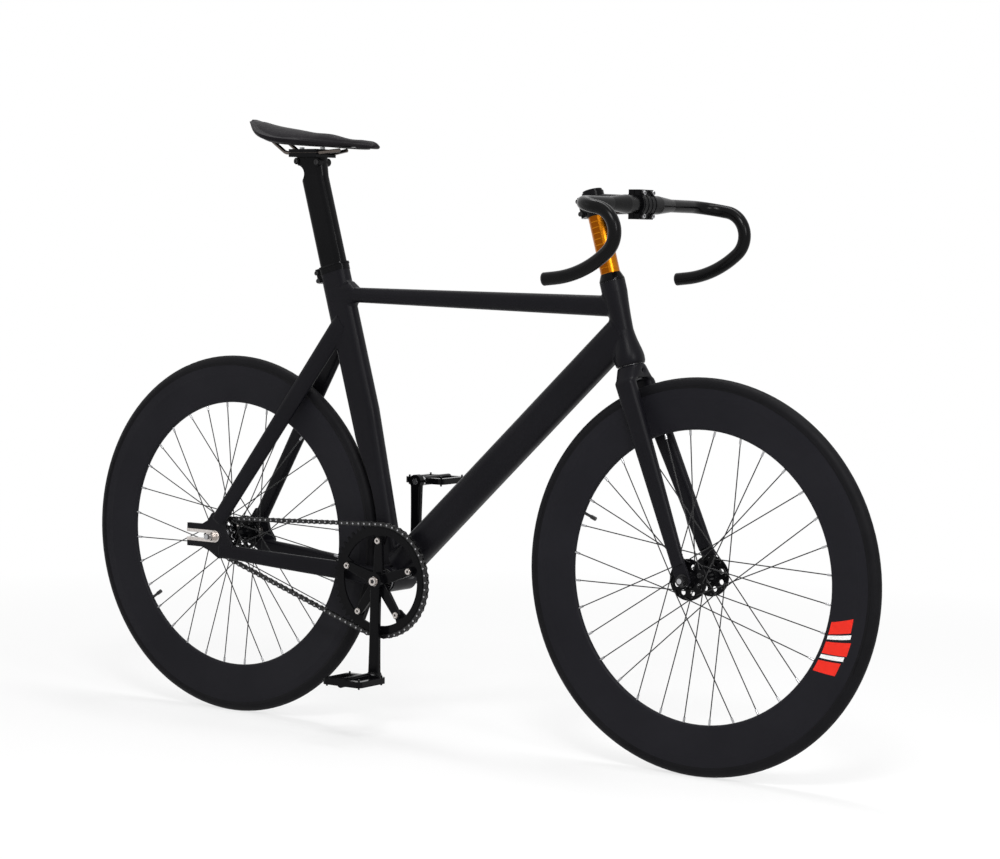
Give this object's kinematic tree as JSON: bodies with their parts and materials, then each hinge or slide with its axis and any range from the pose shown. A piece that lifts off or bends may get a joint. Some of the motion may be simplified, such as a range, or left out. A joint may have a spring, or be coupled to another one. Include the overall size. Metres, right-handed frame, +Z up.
{
  "type": "fixed gear bicycle",
  "caption": "Single-speed track bicycle with drop bar, tall stem column, deep rims, chain drive, platform pedals and a slim saddle on an aero post.",
  "frame": {"origin": "on the ground, midway between the two wheel axles, in the plane of symmetry of the frame", "axes": "+X forward, +Y to the rider's left, +Z up; the chain is on the -Y side"},
  "size_m": [1.6819, 0.4482, 1.1145],
  "materials": {
    "frame_paint": "satin black paint on aluminium",
    "gloss_black": "gloss black anodised aluminium",
    "gold_anodised": "orange-gold anodised",
    "polished_alloy": "polished",
    "steel": "satin",
    "black_steel": "blackened",
    "rim_black": "matte black",
    "tyre_rubber": "slick tread",
    "saddle_skin": "smooth synthetic cover",
    "black_plastic": "matte"
  },
  "bodies": {
    "frame": {"head_tube": "frame_paint", "top_tube": "frame_paint", "down_tube": "frame_paint", "seat_tube": "frame_paint", "bottom_bracket_shell": "frame_paint", "chainstays": "frame_paint", "seatstays": "frame_paint", "dropouts": "frame_paint", "dropout_liners": "polished_alloy", "headset_bearings": "steel", "bottom_bracket_cups": "steel", "seat_collar": "gloss_black", "seat_collar_bolts": "steel", "rear_axle": "steel", "rear_axle_nuts": "polished_alloy", "chain": "black_steel"},
    "steering_set": {"fork_crown": "frame_paint", "fork_blades": "frame_paint", "steerer_tube": "steel", "headset_cover": "gloss_black", "riser_column": "gold_anodised", "stem": "gloss_black", "stem_faceplate": "gloss_black", "stem_bolts": "steel", "top_cap": "gloss_black", "handlebar": "gloss_black", "bar_end_plugs": "black_plastic", "front_axle": "steel", "front_axle_nuts": "polished_alloy"},
    "front_wheel": {"front_hub_shell": "gloss_black", "front_hub_bearings": "steel", "front_spokes": "black_steel", "front_nipples": "polished_alloy", "front_rim": "rim_black", "front_tyre": "tyre_rubber", "front_valve": "steel"},
    "rear_wheel": {"rear_hub_shell": "gloss_black", "rear_hub_bearings": "steel", "sprocket": "polished_alloy", "lockring": "polished_alloy", "rear_spokes": "black_steel", "rear_nipples": "polished_alloy", "rear_rim": "rim_black", "rear_tyre": "tyre_rubber", "rear_valve": "steel"},
    "crank_set": {"crank_spindle": "steel", "crank_arm_right": "gloss_black", "crank_arm_left": "gloss_black", "chainring": "gloss_black", "chainring_bolts": "polished_alloy", "crank_bolts": "polished_alloy", "pedal_axles": "steel"},
    "right_pedal": {"pedal_body_right": "gloss_black"},
    "left_pedal": {"pedal_body_left": "gloss_black"},
    "seatpost_set": {"seatpost": "gloss_black", "saddle_clamp": "black_steel", "saddle_clamp_bolts": "steel", "saddle_rails": "black_steel", "saddle_base": "black_plastic", "saddle_cover": "saddle_skin"}
  },
  "joints": [
    {"name": "steering", "type": "hinge", "parent": "frame", "child": "steering_set", "pos_m": [0.46559, 0, 0.3247], "axis": [-0.2756, 0, 0.9613], "range_deg": [-75, 75]},
    {"name": "front_wheel_spin", "type": "hinge", "parent": "steering_set", "child": "front_wheel", "pos_m": [0.505, 0, 0.336], "axis": [0, 1, 0], "continuous": true},
    {"name": "rear_wheel_spin", "type": "hinge", "parent": "frame", "child": "rear_wheel", "pos_m": [-0.505, 0, 0.336], "axis": [0, 1, 0], "continuous": true, "deforming": ["chain"]},
    {"name": "crank_spin", "type": "hinge", "parent": "frame", "child": "crank_set", "pos_m": [-0.12761, 0, 0.2827], "axis": [0, 1, 0], "continuous": true, "deforming": ["chain"]},
    {"name": "pedal_right_spin", "type": "hinge", "parent": "crank_set", "child": "right_pedal", "pos_m": [-0.12761, 0, 0.1107], "axis": [0, 1, 0], "continuous": true},
    {"name": "pedal_left_spin", "type": "hinge", "parent": "crank_set", "child": "left_pedal", "pos_m": [-0.12761, 0, 0.4547], "axis": [0, 1, 0], "continuous": true},
    {"name": "seatpost_height", "type": "slide", "parent": "frame", "child": "seatpost_set", "axis": [-0.2756, 0, 0.9613], "range_m": [-0.1, 0.03]}
  ],
  "couplings": [
    {"joint": "crank_spin", "follows": "rear_wheel_spin", "ratio": 0.32}
  ]
}
